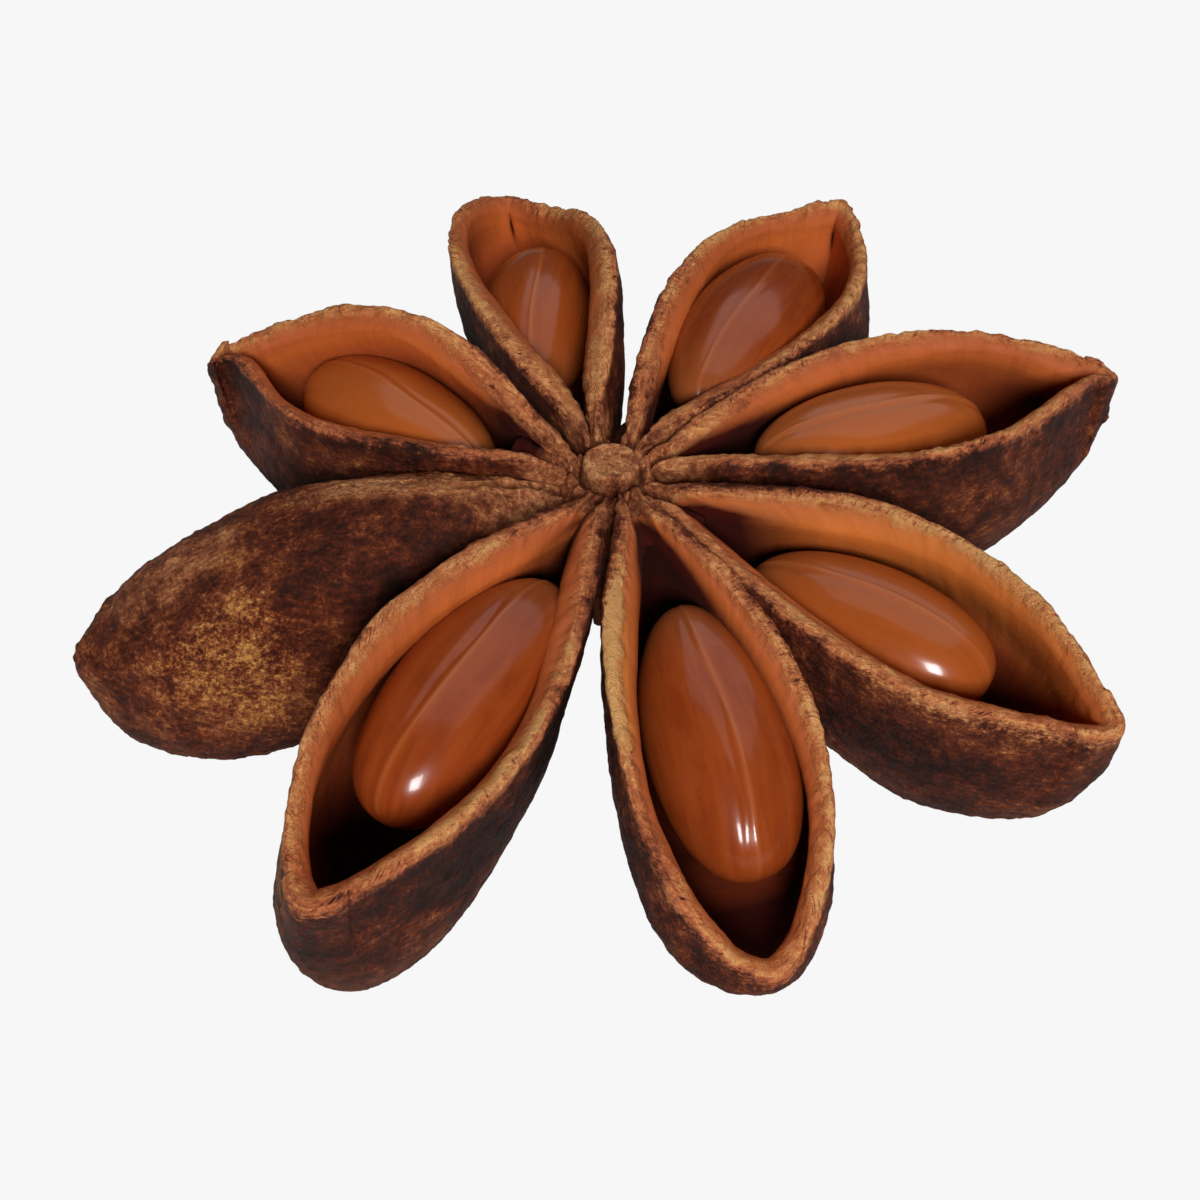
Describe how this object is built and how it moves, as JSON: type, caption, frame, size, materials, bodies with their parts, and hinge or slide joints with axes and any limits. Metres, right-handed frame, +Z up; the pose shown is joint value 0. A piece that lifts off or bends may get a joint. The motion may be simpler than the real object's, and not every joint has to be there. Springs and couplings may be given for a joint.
{
  "type": "star anise pod",
  "caption": "Dried star-shaped spice pod of woody boat-shaped follicles round a short column, most open with a glossy seed inside.",
  "frame": {"origin": "middle of the pod's outline seen from above, on the surface that it rests on", "axes": "+Z up out of the open follicles, along the column; -Y towards the side that the picture shows nearest; +X to its right"},
  "size_m": [0.0326, 0.0336, 0.0088],
  "materials": {
    "pod_husk": "dry wrinkled husk, matt, mottled brown",
    "seed_coat": "polished caramel brown seed coat"
  },
  "bodies": {
    "root": {"pod": "pod_husk", "seed_1": "seed_coat", "seed_2": "seed_coat", "seed_3": "seed_coat", "seed_4": "seed_coat", "seed_5": "seed_coat", "seed_6": "seed_coat", "seed_7": "seed_coat"}
  },
  "joints": []
}
